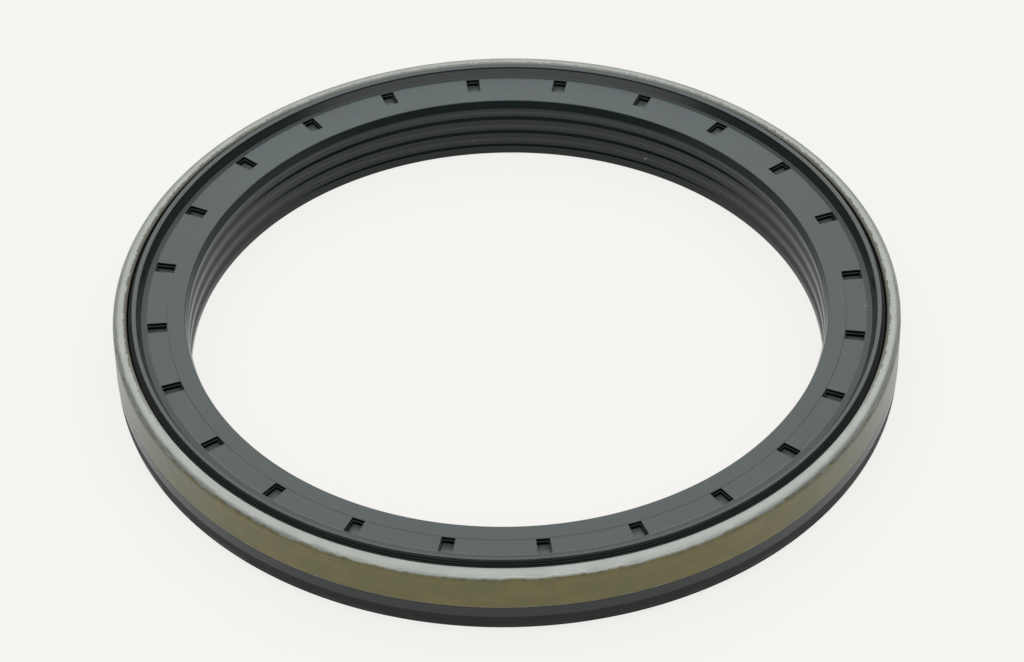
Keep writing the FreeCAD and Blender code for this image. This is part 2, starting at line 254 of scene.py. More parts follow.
class Finish:
    """One material: its place, its masks, and the layers over its colour and roughness."""

    def __init__(self, name, colour, roughness, metallic=0.0):
        self.material = bpy.data.materials.new(name)
        self.material.use_nodes = True
        self.tree = self.material.node_tree
        self.shader = self.tree.nodes["Principled BSDF"]
        self.shader.inputs["Metallic"].default_value = metallic
        self.colour, self.roughness = linear(colour), roughness
        self.column = -2600
        self.place = self.group(ring_place)

    def group(self, tree, **values):
        """One of the shared groups in this material. Sockets are named with _ for a space."""
        self.column += 60
        values = {label.replace("_", " "): value for label, value in values.items()}
        return add(self.tree, "ShaderNodeGroup", (self.column, 400), values, node_tree=tree).outputs

    def band(self, value, low, high, blur):
        """Mask that is 1 between two radii or heights."""
        return self.group(band_group, Value=value, From=low, To=high, Blur=blur)["Mask"]

    def facing(self):
        """The direction round the axis as two numbers: how far to the right and how far back."""
        self.column += 40
        parts = add(self.tree, "ShaderNodeSeparateXYZ", (self.column, -800), {0: self.place["Round"]})
        return parts.outputs[0], parts.outputs[1]

    def math(self, operation, *values, clamp=False):
        """One step of arithmetic on masks."""
        self.column += 40
        return calculate(self.tree, operation, (self.column, -400), *values, clamp=clamp)

    def times(self, first, second):
        """Where two masks meet, or a share of a mask."""
        return self.math("MULTIPLY", first, second)

    def threshold(self, value, low, high):
        """Mask that rises from 0 to 1 as a value goes from low to high."""
        self.column += 40
        node = add(self.tree, "ShaderNodeMapRange", (self.column, 0), interpolation_type="SMOOTHSTEP",
                   values={"Value": value, "From Min": low, "From Max": high})
        return node.outputs["Result"]

    def paint(self, mask, colour, share=1):
        """Lays a colour, or a share of it, over what is there, where the mask is 1."""
        if share < 1:
            mask = self.times(mask, share)
        self.column += 60
        mix = add(self.tree, "ShaderNodeMix", (self.column, 200), data_type="RGBA",
                  values={0: mask, 6: self.colour, 7: linear(colour)})
        self.colour = mix.outputs[2]

    def shade(self, value, low, high):
        """Makes what is there darker or lighter: a value of 0 gives low times, 1 gives high times."""
        self.column += 60
        factor = add(self.tree, "ShaderNodeMapRange", (self.column, 600),
                     values={"Value": value, "To Min": low, "To Max": high})
        plain = not isinstance(self.colour, bpy.types.NodeSocket)
        scale = add(self.tree, "ShaderNodeVectorMath", (self.column, 450), operation="SCALE", values={
            0: self.colour[:3] if plain else self.colour, "Scale": factor.outputs["Result"]})
        self.colour = scale.outputs[0]

    def gloss(self, mask, roughness):
        """Sets the roughness where the mask is 1."""
        self.column += 60
        mix = add(self.tree, "ShaderNodeMix", (self.column, -200), data_type="FLOAT",
                  values={0: mask, 2: self.roughness, 3: roughness})
        self.roughness = mix.outputs[0]

    def relief(self, height, depth):
        """Bumps the surface by a height map. Depth is in millimetres."""
        self.column += 60
        bump = add(self.tree, "ShaderNodeBump", (self.column, -600),
                   values={"Height": height, "Strength": 1.0, "Distance": depth * mm})
        normal = self.shader.inputs["Normal"]
        if normal.is_linked:
            wire(self.tree, normal.links[0].from_socket, bump.inputs["Normal"])
        wire(self.tree, bump.outputs[0], normal)

    def done(self):
        """Connects the layers to the shader."""
        self.shader.location = (self.column + 400, 200)
        self.tree.nodes["Material Output"].location = (self.column + 800, 200)
        wire(self.tree, self.colour, self.shader.inputs["Base Color"])
        wire(self.tree, self.roughness, self.shader.inputs["Roughness"])
        print(self.material.name, "has", len(self.tree.nodes), "nodes")
        return self.material

    def duller(self, name, shine):
        """Copy of the finished material that mirrors more weakly. Plain rubber has a shine of 0.5."""
        copy = self.material.copy()
        copy.name = name
        copy.node_tree.nodes["Principled BSDF"].inputs["Specular IOR Level"].default_value = shine
        return copy


# %% [markdown]
# ## Main sizes
#
# A finish on this seal ends where a form ends: the coat stops short of the fold, a line of
# painted shade, light as a painted highlight at the front, lies in the channel's corner. So the
# sizes of the visible forms come first, in millimetres, and both the finishes and the sections
# are worked out from them. Sizes that only one section needs are named there.

# %% Sizes of the case
sheet = 1.25
case_r, case_top = 80.0, 15.1
fold_inner_r = 77.1
step_r, step_low, seat_low = 79.0, 6.0, 6.9
skin_taper_z = 4.6
print("case", 2 * case_r, "mm across, with a seat", round(case_top - seat_low, 2), "mm high")

# %% Sizes of the inner ring's rubber
bore_r, mouth_r, mouth_low = 64.8, 65.4, 12.5
face_z, channel_z = 14.35, 14.25
channel_in_r, channel_out_r = 68.95, 73.1
pocket_ledge_z, pocket_floor_z = channel_z - 0.77, channel_z - 1.6
dip_r, dip_z = 74.17, 13.95
crown_in_r, crown_out_r, crown_top = 75.22, 76.1, 16.0
groove_count, groove_pitch, groove_top = 3, 0.42, 15.9
print("bore", 2 * bore_r, "mm across, face at", face_z, "mm, collar up to", crown_top, "mm")

# %% [markdown]
# ## Finish of the case
#
# The sheet is bright where the press folded it over, olive to tan where it wears the bonding
# coat on which the housing seats, and stained inside the fold. An image of the real sheet
# could be wrapped round it, but it would fit this one size only. Layers of masks, each cut
# off at a height or a radius, follow the form instead. The first layer is the drawn metal,
# with the streaks that the press tool left round the ring.

# %% Case finish: bright fold
case_finish = Finish("case_steel_sheet", "9da19c", 0.40, metallic=1.0)
radius, height = case_finish.place["Radius"], case_finish.place["Height"]
fine_marks = case_finish.group(marks_group, Fineness=6.0, Wander=3.0, Detail=4.0)["Value"]
long_marks = case_finish.group(marks_group, Fineness=1.2, Wander=9.0, Detail=3.0)["Value"]
clouds = case_finish.group(cloud_group, Cloud_size=5.0, Grain_size=0.35)
small_clouds = case_finish.group(cloud_group, Cloud_size=1.6, Grain_size=0.6)

case_finish.shade(fine_marks, 0.80, 1.12)
case_finish.shade(clouds["Cloud"], 0.86, 1.10)
case_finish.shade(long_marks, 0.88, 1.12)
# painted light: the fold's outer rounding is made a little lighter
outer_rounding = case_finish.band(radius, case_r - 0.95, case_r - 0.07, 0.25)
case_finish.shade(outer_rounding, 1.0, 1.05)

# %% [markdown]
# The coat was wiped on before pressing, so its upper edge wanders: the height at which the
# mask ends gets a cloud added to it. Two slow tones, olive and tan, lie in the coat. At the
# ring's left and right it is painted grey, as a painted reflection.

# %% Case finish: coat on the seat
coat_line = 13.7
coat_edge = case_finish.math("MULTIPLY_ADD", clouds["Cloud"], 0.9, coat_line)
coat_edge = case_finish.math("MULTIPLY_ADD", small_clouds["Cloud"], 0.5, coat_edge)
coat = case_finish.band(height, 0.0, coat_edge, 0.5)
coat_colour = case_finish.math("MULTIPLY_ADD", long_marks, 0.5, case_finish.times(clouds["Cloud"], 0.5))
right, back = case_finish.facing()
at_sides = case_finish.threshold(case_finish.math("ABSOLUTE", right), 0.6, 0.95)
side_sheen = case_finish.times(at_sides, case_finish.math("MULTIPLY_ADD", long_marks, 0.8, 0.1))
case_finish.paint(coat, "635b2e")
case_finish.paint(case_finish.times(coat, case_finish.threshold(coat_colour, 0.45, 0.62)), "6c6134")
case_finish.paint(case_finish.times(coat, case_finish.threshold(coat_colour, 0.5, 0.38)), "5d5b34")
# painted reflection: the coat is made grey at the ring's left and right
case_finish.paint(case_finish.times(coat, side_sheen), "525952")

# %% [markdown]
# Edges make a coat look real. Along the upper one lie darker patches and specks, with a thin
# painted highlight above them, lighter than the bare metal. Over the lower one crept a little
# of the rubber, and next to it lies a thin light line.

# %% Case finish: edges of the coat
coat_top = case_finish.times(case_finish.band(height, coat_line + 0.05, case_top + 0.9, 0.5), coat)
patches = case_finish.times(coat_top, case_finish.threshold(small_clouds["Cloud"], 0.35, 0.65))
case_finish.paint(patches, "514d3a", 0.55)
# painted highlight: a thin light line just above the coat's upper edge
edge_highlight = case_finish.band(case_finish.math("SUBTRACT", height, coat_edge), 0.22, 0.42, 0.16)
edge_highlight = case_finish.times(edge_highlight, case_finish.threshold(fine_marks, 0.35, 0.6))
case_finish.paint(edge_highlight, "cfd2cc", 0.5)
speck_band = case_finish.band(height, coat_line - 0.8, coat_line + 0.35, 0.5)
edge_specks = case_finish.times(speck_band, case_finish.threshold(small_clouds["Grain"], 0.60, 0.68))
case_finish.paint(edge_specks, "4a4530", 0.5)
flash_edge = case_finish.math("MULTIPLY_ADD", small_clouds["Cloud"], 0.5, seat_low - 0.05)
case_finish.paint(case_finish.band(height, step_low, flash_edge, 0.1), "23282a")
seat_line = case_finish.times(case_finish.band(height, seat_low + 0.22, seat_low + 0.4, 0.12),
                              case_finish.threshold(small_clouds["Cloud"], 0.45, 0.6))
case_finish.paint(seat_line, "8d8778", 0.6)

# %% [markdown]
# Inside the fold, oil and bonding agent have left a brown-black stain. It is strong at the
# ring's left and right, fainter at its back, and wiped off at its front, so its mask takes
# the direction round the axis as well as the radius. Deeper in the gap the steel is painted
# near black, as painted shade.

# %% Case finish: stain, and painted shade inside the fold
unwiped = case_finish.threshold(back, -0.62, -0.12)
faded = case_finish.math("SUBTRACT", 1.0, case_finish.times(case_finish.threshold(back, 0.55, 0.95), 0.40))
near_gap = case_finish.threshold(radius, fold_inner_r + 1.4, fold_inner_r - 0.1)
stain_grain = case_finish.math("MULTIPLY_ADD", small_clouds["Cloud"], 0.5,
                               case_finish.times(small_clouds["Grain"], 0.8))
stain_and_shade = case_finish.threshold(case_finish.math("MULTIPLY_ADD", near_gap, 0.7, stain_grain), 0.86, 1.04)
stain_and_shade = case_finish.times(stain_and_shade, case_finish.times(unwiped, faded))
case_finish.paint(stain_and_shade, "3c3725", 0.84)
# painted shade: the steel inward of the fold's inner edge is made near black
gap_shade = case_finish.band(radius, 0.0, fold_inner_r + 0.04, 0.16)
case_finish.paint(gap_shade, "0d0d0b")
stain_and_shade = case_finish.math("MAXIMUM", stain_and_shade, gap_shade)

# %% [markdown]
# Metal and coat differ in more than colour. The coat, the stain and the painted shade hide the
# metal, so the metallic value drops with them, and the coat has a gloss of its own.

# %% Case finish: metal and gloss
metal = case_finish.math("SUBTRACT", 1.0, case_finish.math("MAXIMUM", coat, stain_and_shade), clamp=True)
wire(case_finish.tree, metal, case_finish.shader.inputs["Metallic"])
case_finish.gloss(fine_marks, 0.54)
case_finish.gloss(coat, 0.24)
case_finish.relief(fine_marks, 0.012)
case_finish.relief(small_clouds["Grain"], 0.006)
case_steel = case_finish.done()

# %% [markdown]
# ## Finish of the inner ring's rubber
#
# The moulding is one black-grey rubber, but it looks like several, because much of the grey
# in the photograph is a reflection. The flat face is matt and mirrors the bright light behind
# the ring softly. The bore was moulded against a polished steel and is smooth: its grey is the
# white table, mirrored at a low angle, and its colour is painted near black as shade. The
# sloping bands round the bore's mouth and inside the collar face away from both, and are
# painted dark as shade. So each zone gets three things: a colour, with some light and shade
# painted into it, its roughness, and how strongly it mirrors. First comes what lies over the
# whole moulding: faint rings from the turned mould, slow clouds, a back painted paler as
# painted light, and crumbs of dust.

# %% Cover finish: tones of the moulding, and a painted lighter back
cover_finish = Finish("cover_rubber_grey", "313c3c", 0.36)
cover_finish.shader.inputs["Specular IOR Level"].default_value = 0.58
radius, height = cover_finish.place["Radius"], cover_finish.place["Height"]
mould_marks = cover_finish.group(marks_group, Fineness=4.0, Wander=1.5, Detail=3.0)["Value"]
flow_marks = cover_finish.group(marks_group, Fineness=0.5, Wander=7.0, Detail=4.0)["Value"]
clouds = cover_finish.group(cloud_group, Cloud_size=9.0, Grain_size=0.5)
crumbs = cover_finish.group(cloud_group, Cloud_size=1.0, Grain_size=0.55)
right, back = cover_finish.facing()
at_sides = cover_finish.threshold(cover_finish.math("ABSOLUTE", right), 0.5, 0.8)
at_front = cover_finish.threshold(back, -0.3, -0.7)
at_back = cover_finish.threshold(back, 0.3, 0.8)
cover_finish.shade(mould_marks, 0.92, 1.08)
cover_finish.shade(flow_marks, 0.85, 1.15)
cover_finish.shade(clouds["Cloud"], 0.85, 1.15)
# painted light: the back of the ring is made paler
cover_finish.shade(at_back, 1.0, 1.3)
dust = cover_finish.threshold(crumbs["Grain"], 0.76, 0.84)
cover_finish.paint(dust, "9aa09e", 0.35)

# %% [markdown]
# A zone of a ring is where a range of radii and a range of heights meet, so one small
# function finds every zone: the collar's scuffed crown, the bore and its mouth, the strip
# that falls away from the face, the slope that rises to the collar, and the collar's back.
# The bore, its mouth, the slope and the collar's back are painted dark as shade, and the
# falling strip is painted lighter as painted light.

# %% Cover finish: zones
def cover_zone(low_r, high_r, low_z, high_z, blur_r, blur_z):
    """Mask of the cover between two radii and between two heights."""
    return cover_finish.times(cover_finish.band(height, low_z, high_z, blur_z),
                              cover_finish.band(radius, low_r, high_r, blur_r))


crown = cover_zone(crown_in_r - 0.02, crown_out_r - 0.04, crown_top - 0.4, crown_top + 1, 0.1, 0.2)
worn = cover_finish.math("MULTIPLY_ADD", cover_finish.threshold(crumbs["Cloud"], 0.3, 0.7), 0.4, 0.6)
bore_mask = cover_finish.band(radius, 0.0, mouth_r - 0.04, 0.1)
mouth = cover_zone(bore_r - 0.8, mouth_r - 0.02, mouth_low, face_z - 0.05, 0.06, 0.1)
rise = cover_zone(dip_r - 0.02, crown_in_r - 0.02, dip_z - 0.05, crown_top - 0.3, 0.06, 0.08)
fall = cover_zone(channel_out_r + 0.05, dip_r + 0.03, dip_z - 0.05, face_z - 0.01, 0.1, 0.05)
collar_back = cover_finish.band(radius, crown_out_r - 0.06, crown_out_r + 2.0, 0.06)
cover_finish.paint(cover_finish.times(crown, worn), "464e4c")
# painted shade: the bore, its mouth and the rising slope are made dark
cover_finish.paint(bore_mask, "0c1413")
cover_finish.paint(mouth, "1c2323")
cover_finish.paint(rise, "0f1717")
# painted light: the strip that falls from the face is made lighter
cover_finish.paint(fall, "3a4343")
# painted shade: the collar's back is made near black
cover_finish.paint(collar_back, "080a0a")

# %% [markdown]
# The pockets' walls lie in shade and are painted nearly black as painted shade, and their
# ledges and floors are painted lighter as painted light. The channel's two edges are painted
# dark as shade at the ring's left and right and light as a highlight at its front, where they
# face the lamps. Inside the outer edge, at the front, lies one more painted highlight line.

# %% Cover finish: pockets and lines
def pocket_zone(low_z, high_z, blur):
    """Mask of all the pockets between two heights."""
    return cover_zone(channel_in_r - 0.05, channel_out_r + 0.05, low_z, high_z, 0.05, blur)


# painted shade: the pockets' walls are made nearly black
cover_finish.paint(pocket_zone(pocket_floor_z + 0.07, pocket_ledge_z - 0.04, 0.05), "0a0d0d")
cover_finish.paint(pocket_zone(pocket_ledge_z + 0.04, channel_z - 0.05, 0.05), "0a0d0d")
# painted light: the pockets' floors and ledges are made lighter
cover_finish.paint(pocket_zone(pocket_floor_z - 0.25, pocket_floor_z + 0.05, 0.04), "465050")
cover_finish.paint(pocket_zone(pocket_ledge_z - 0.03, pocket_ledge_z + 0.03, 0.02), "3c4444")

channel_lines = cover_finish.math("MAXIMUM", *[
    cover_zone(edge_r - 0.05, edge_r + 0.05, channel_z - 0.05, face_z + 0.02, 0.05, 0.05)
    for edge_r in (channel_in_r, channel_out_r)])
# painted shade and highlight: the channel's edges dark at the sides, light at the front
cover_finish.paint(cover_finish.times(channel_lines, at_sides), "1d2223", 0.6)
cover_finish.paint(cover_finish.times(channel_lines, at_front), "5d6868", 0.8)
# painted highlight: a light line inside the channel's outer edge at the front
front_highlight_line = cover_zone(channel_out_r - 0.24, channel_out_r - 0.1,
                       channel_z - 0.05, channel_z + 0.05, 0.08, 0.05)
cover_finish.paint(cover_finish.times(front_highlight_line, at_front), "616c6c", 0.45)

# the crests between the fine grooves of the collar's back, painted lighter as painted highlight
for k in range(1, groove_count + 1):
    crest_z = groove_top - groove_pitch * k
    crest = cover_finish.band(height, crest_z - 0.06, crest_z + 0.06, 0.06)
    cover_finish.paint(cover_finish.times(collar_back, crest), "343938")

# %% [markdown]
# Gloss tells the zones apart from other sides too, when the lamps are mirrored elsewhere. A
# few crumbs and dents sit at definite places. How strongly rubber mirrors is one number for a
# whole material, so the bore and the zones that mirror least get a copy of the finished
# material with a lower number. The faces of the ring are given their copy further down.

# %% Cover finish: gloss and spots
cover_finish.gloss(cover_finish.threshold(clouds["Grain"], 0.3, 0.7), 0.40)
cover_finish.gloss(mouth, 0.6)
cover_finish.gloss(rise, 0.24)
cover_finish.gloss(bore_mask, 0.09)
cover_finish.gloss(collar_back, 0.6)
cover_finish.relief(mould_marks, 0.004)

# crumbs in the bore, two beside the channel, a nick in the collar painted near black as its
# shade, and a crumb in the gap
for angle, r, z, size, colour in ((62, bore_r, 4.0, 0.32, "d8dbd6"), (96, bore_r, 3.8, 0.25, "c3c8c4"),
                                  (-2.5, 72.9, 14.25, 0.22, "8b9190"), (-3.6, 73.6, 14.35, 0.18, "8b9190"),
                                  (88.3, 75.15, 15.6, 0.35, "0d0f0f"), (0.5, 76.9, 14.9, 0.3, "b9bcb6")):
    a = math.radians(angle)
    spot = cover_finish.group(spot_group, Centre=(r * math.cos(a), r * math.sin(a), z), Size=size)["Mask"]
    cover_finish.paint(spot, colour)
cover_rubber = cover_finish.done()
bore_rubber = cover_finish.duller("cover_rubber_bore", 0.42)
shaded_rubber = cover_finish.duller("cover_rubber_shaded", 0.12)

# %% [markdown]
# ## Finish of the outer skin
#
# The rubber below the seat is darker still and glossy. Its foot is duller, with the mould's
# turning marks in it as pale streaks, and has a polished line near its bottom edge. It gets a
# copy of the material that mirrors half as strongly.

# %% Outer rubber finish
skin_finish = Finish("seal_rubber_dark", "0e1515", 0.11)
skin_finish.shader.inputs["Specular IOR Level"].default_value = 0.62
height = skin_finish.place["Height"]
mould_marks = skin_finish.group(marks_group, Fineness=5.0, Wander=1.5, Detail=4.0)["Value"]
clouds = skin_finish.group(cloud_group, Cloud_size=5.0, Grain_size=0.4)
skin_finish.shade(mould_marks, 0.8, 1.2)
skin_finish.shade(clouds["Cloud"], 0.8, 1.2)
foot_edge = skin_finish.math("MULTIPLY_ADD", clouds["Cloud"], 0.3, skin_taper_z - 0.18)
foot = skin_finish.band(height, -1.0, foot_edge, 0.15)
skin_finish.paint(foot, "191d1c")
pale_marks = skin_finish.times(foot, skin_finish.threshold(mould_marks, 0.58, 0.70))
skin_finish.paint(pale_marks, "3a3f3d", 0.6)
skin_finish.gloss(clouds["Grain"], 0.20)
skin_finish.gloss(foot, 0.62)
polished = skin_finish.times(skin_finish.band(height, 1.95, 2.6, 0.4),
                             skin_finish.threshold(clouds["Cloud"], 0.4, 0.6))
skin_finish.gloss(polished, 0.35)
skin_finish.relief(mould_marks, 0.01)
seal_rubber = skin_finish.done()
foot_rubber = skin_finish.duller("seal_rubber_foot", 0.3)

# %% [markdown]
# ## Finish of the hidden steel
#
# The sleeve is ground where the lips run, so it has the finest marks of all. The spring wire
# is drawn and bright, a little darker and lighter in slow clouds.

# %% Sleeve and spring finishes
sleeve_finish = Finish("sleeve_steel_ground", "bfc0bd", 0.26, metallic=1.0)
ground = sleeve_finish.group(marks_group, Fineness=14.0, Wander=2.0, Detail=3.0)["Value"]
sleeve_finish.shade(ground, 0.82, 1.1)
sleeve_finish.gloss(ground, 0.36)
sleeve_finish.relief(ground, 0.004)
sleeve_steel = sleeve_finish.done()

spring_finish = Finish("spring_steel_wire", "b4b2ac", 0.3, metallic=1.0)
tint = spring_finish.group(cloud_group, Cloud_size=3.0, Grain_size=0.2)
spring_finish.shade(tint["Cloud"], 0.75, 1.1)
spring_finish.gloss(tint["Grain"], 0.4)
spring_steel = spring_finish.done()

# %% [markdown]
# ## Sections
#
# A section is a short list of corners, each a distance from the axis and a height, both in
# millimetres, with a rounding where the real corner has one. Moulds and press tools always
# leave some rounding, and it is what catches the light. One helper turns such a list into a
# smooth outline. It sets a supporting point close to each end of a rounding, so that smooth
# shading bends the light in the rounding only and leaves the flat beside it flat.

# %% Section helpers
def rounded_outline(corners, arc_step=18, support=0.05):
    """Outline points of a closed section. A corner is (radius, height) or (radius, height, rounding)."""
    outline = []
    count = len(corners)
    for i, corner in enumerate(corners):
        here = Vector(corner[:2])
        rounding = corner[2] if len(corner) > 2 else 0
        way_in = Vector(corners[i - 1][:2]) - here
        way_out = Vector(corners[(i + 1) % count][:2]) - here
        angle = way_in.angle(way_out)
        if rounding <= 0 or angle > math.pi - 0.01:
            outline.append(here)
            continue
        reach = min(rounding / math.tan(angle / 2), way_in.length / 2, way_out.length / 2)
        rounding = reach * math.tan(angle / 2)
        middle = here + (way_in.normalized() + way_out.normalized()).normalized() * (
            rounding / math.sin(angle / 2))
        first = here + way_in.normalized() * reach - middle
        last = here + way_out.normalized() * reach - middle
        sweep = first.angle_signed(last)
        steps = max(2, math.ceil(abs(math.degrees(sweep)) / arc_step))
        if way_in.length / 2 > reach + support:
            outline.append(here + way_in.normalized() * (reach + support))
        for k in range(steps + 1):
            turn = Matrix.Rotation(-sweep * k / steps, 2)
            outline.append(middle + turn @ first)
        if way_out.length / 2 > reach + support:
            outline.append(here + way_out.normalized() * (reach + support))
    return outline


def arc(centre_r, centre_z, radius, start, end, steps):
    """Points of a section on an arc, from one angle to another in degrees."""
    angles = [math.radians(start + (end - start) * k / steps) for k in range(steps + 1)]
    return [(centre_r + radius * math.cos(a), centre_z + radius * math.sin(a)) for a in angles]


# %% [markdown]
# The turned mesh is made by hand rather than with a Screw modifier, so that its last column
# of points is welded to its first and no seam is left. The direction of the faces is set
# once, from the whole closed skin.

# %% Turning a section into a ring
def finished(name, mesh_tool, sharp_angle=35):
    """Object at the origin from a bmesh, with its faces outwards and its sharp edges marked."""
    bmesh.ops.remove_doubles(mesh_tool, verts=mesh_tool.verts, dist=1e-7)
    bmesh.ops.recalc_face_normals(mesh_tool, faces=mesh_tool.faces)
    mesh = bpy.data.meshes.new(name)
    mesh_tool.to_mesh(mesh)
    mesh_tool.free()
    mesh.shade_smooth()
    mesh.set_sharp_from_angle(angle=math.radians(sharp_angle))
    piece = bpy.data.objects.new(name, mesh)
    bpy.context.scene.collection.objects.link(piece)
    return piece


def turned_ring(name, outline, material, columns=480):
    """Closed ring with the given outline, turned once round the axis."""
    tool = bmesh.new()
    rows = []
    for j in range(columns):
        angle = 2 * math.pi * j / columns
        across = Vector((math.cos(angle), math.sin(angle), 0))
        rows.append([tool.verts.new((across * p[0] + Vector((0, 0, p[1]))) * mm) for p in outline])
    for j in range(columns):
        here, after = rows[j], rows[(j + 1) % columns]
        for i in range(len(outline)):
            tool.faces.new((here[i - 1], here[i], after[i], after[i - 1]))
    piece = finished(name, tool)
    piece.data.materials.append(material)
    print(name, len(piece.data.polygons), "faces")
    return piece


# %% [markdown]
# A zone that has its own copy of a material is found by where the middle of each face lies.

# %% Giving a zone its own material
def dress_zones(piece, zones):
    """Gives the faces in each zone its material: (material, low radius, high, low height, high)."""
    mesh = piece.data
    middles = [(math.hypot(face.center.x, face.center.y) / mm, face.center.z / mm) for face in mesh.polygons]
    for zone_material, low_r, high_r, low_z, high_z in zones:
        if mesh.materials.find(zone_material.name) < 0:
            mesh.materials.append(zone_material)
        place = mesh.materials.find(zone_material.name)
        for face, (r, z) in zip(mesh.polygons, middles):
            if low_r < r < high_r and low_z < z < high_z:
                face.material_index = place
    print(piece.name, "wears", [worn.name for worn in mesh.materials if worn])


# %% [markdown]
# ## The outer case
#
# One sheet, 1.25 mm thick, is drawn to a cup, folded back on itself at the top, and turned
# inwards to a web that carries the lips. The fold is the bright rim of the photograph. Seen
# from above it is all that shows of the sheet's full round edge, so it is given many points.

# %% Case
case_foot = 1.4
web_top, web_hole_r = 9.6, 71.2
web_under = web_top - sheet
fold_outer_round, fold_inner_round = 1.6, 0.45
bend, cut_edge = 0.8, 0.15
outer_bend = bend + sheet

# inside the sheet the step lies a little higher, so that the slope is as thick as the rest
step_turn = math.atan2(case_r - step_r, seat_low - step_low)
inside_rise = sheet * math.tan(step_turn / 2)

case_section = rounded_outline([
    (step_r, case_foot, cut_edge), (step_r, step_low, bend), (case_r, seat_low, 0.3),
    (case_r, case_top, fold_outer_round), (fold_inner_r, case_top, fold_inner_round),
    (fold_inner_r, web_top, bend), (web_hole_r, web_top, cut_edge),
    (web_hole_r, web_under, cut_edge), (fold_inner_r + sheet, web_under, outer_bend),
    (fold_inner_r + sheet, case_top - sheet, 0.2), (case_r - sheet, case_top - sheet, 0.2),
    (case_r - sheet, seat_low + inside_rise, bend),
    (step_r - sheet, step_low + inside_rise, outer_bend), (step_r - sheet, case_foot, cut_edge),
], arc_step=9)
case_ring = turned_ring("case_ring", case_section, case_steel)
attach(case_ring, "outer_ring")
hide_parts("outer_case")

# %% [markdown]
# ## The rubber on the case
#
# Below its metal seat the case wears a skin of dark rubber that seals in the housing. The
# same moulding goes round the heel, lines the inside and ends in the lips that run on the
# sleeve. Its outline follows the steel that it is bonded to, so the two meet with no gap.

# %% Sealing rubber
spring_r, spring_z, coil_r = 70.95, 3.7, 0.85
spring_groove = arc(spring_r, spring_z, coil_r + 0.05, 86, 274, 12)
lining_thick, heel_z = 0.65, 0.6
lining_r, lining_top = step_r - sheet - lining_thick, web_under - lining_thick
wrap_r, wrap_top = web_hole_r + 1.9, web_top + 0.4
lip_r, head_r, neck_r = 67.6, 71.0, 70.45
head_low, head_top = 2.1, 4.95
soft, thin = 0.2, 0.1

outer_skin = [(case_r, seat_low), (case_r, skin_taper_z, soft), (case_r - 0.2, 1.55, soft),
              (78.9, heel_z, soft)]
lining = [(lining_r, heel_z, 0.35), (lining_r, lining_top, bend), (wrap_r, lining_top, bend)]
main_lip = [(neck_r, 6.18, 1.2), (neck_r, head_top, soft), (head_r, head_top, soft), *spring_groove,
            (head_r, head_low + 0.4, soft), (head_r - 0.4, head_low, soft), (68.99, head_low, soft),
            (lip_r, spring_z), (69.25, 7.4, soft)]
sleeve_dust_lip = [(69.25, 9.45, soft), (lip_r, 10.12), (67.88, 10.4, thin), (69.8, wrap_top, soft)]
flange_dust_lip = [(71.7, wrap_top, soft), (72.4, 10.7, thin), (72.9, 10.7, thin),
                   (72.2, wrap_top, soft), (wrap_r, wrap_top, soft), (wrap_r, web_top)]
along_the_sheet = [(web_hole_r, web_top), (web_hole_r, web_under),
                   (fold_inner_r + sheet, web_under, outer_bend), (fold_inner_r + sheet, 10.4),
                   (case_r - sheet, 10.4), (case_r - sheet, seat_low + inside_rise, bend),
                   (step_r - sheet, step_low + inside_rise, outer_bend),
                   (step_r - sheet, case_foot), (step_r, case_foot), (step_r, step_low, bend)]
rubber_section = rounded_outline(outer_skin + lining + main_lip + sleeve_dust_lip + flange_dust_lip
                                 + along_the_sheet)
rubber_ring = turned_ring("rubber_ring", rubber_section, seal_rubber)
dress_zones(rubber_ring, [(foot_rubber, 0, case_r, 0, skin_taper_z)])
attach(rubber_ring, "outer_ring")
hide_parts("sealing_element")

# %% [markdown]
# ## The garter spring
#
# A long coil of fine wire, joined into a ring, lies in a groove of the lip and closes it on
# the sleeve. Its shape is a rule with four numbers, so a Geometry Nodes tree makes it: a
# line of points is bent into a coil that runs round the ring, becomes a curve, and gets the
# wire's thickness. The whole coil is one wire, not a thousand separate rings.

# %% Keeping what a tree makes
def made_by_nodes(piece, tree, values):
    """Runs a tree on a piece with its named inputs set, and keeps the result as a plain mesh."""
    modifier = piece.modifiers.new(tree.name, "NODES")
    modifier.node_group = tree
    for item in tree.interface.items_tree:
        if item.item_type == "SOCKET" and item.in_out == "INPUT" and item.name in values:
            modifier[item.identifier] = values[item.name]
    ready = piece.evaluated_get(bpy.context.evaluated_depsgraph_get())
    mesh = bpy.data.meshes.new_from_object(ready)
    piece.modifiers.remove(modifier)
    piece.data = mesh
    mesh.name = piece.name
    print(piece.name, len(mesh.polygons), "faces from", tree.name)


# %% Coil spring tree
coil, asked, given = new_group("Coil spring ring", [
    ("Geometry", "NodeSocketGeometry", None), ("Ring radius", "NodeSocketFloat", 0.07),
    ("Height", "NodeSocketFloat", 0.0), ("Coil radius", "NodeSocketFloat", 0.001),
    ("Wire radius", "NodeSocketFloat", 0.0002), ("Turns", "NodeSocketInt", 100),
    ("Points a turn", "NodeSocketInt", 10), ("Material", "NodeSocketMaterial", None)],
    [("Geometry", "NodeSocketGeometry")], kind="GeometryNodeTree")
points = calculate(coil, "MULTIPLY", (-1400, -200), asked["Turns"], asked["Points a turn"])
line = add(coil, "GeometryNodeMeshLine", (-800, 0), values={"Count": points})
step = add(coil, "GeometryNodeInputIndex", (-1400, -400)).outputs[0]
share = calculate(coil, "DIVIDE", (-1200, -300), step, points)
way_round = calculate(coil, "MULTIPLY", (-1000, -300), share, 2 * math.pi)
way_in_coil = calculate(coil, "MULTIPLY", (-1000, -500), way_round, asked["Turns"])
out = calculate(coil, "MULTIPLY_ADD", (-600, -450),
                calculate(coil, "COSINE", (-800, -450), way_in_coil), asked["Coil radius"],
                asked["Ring radius"])
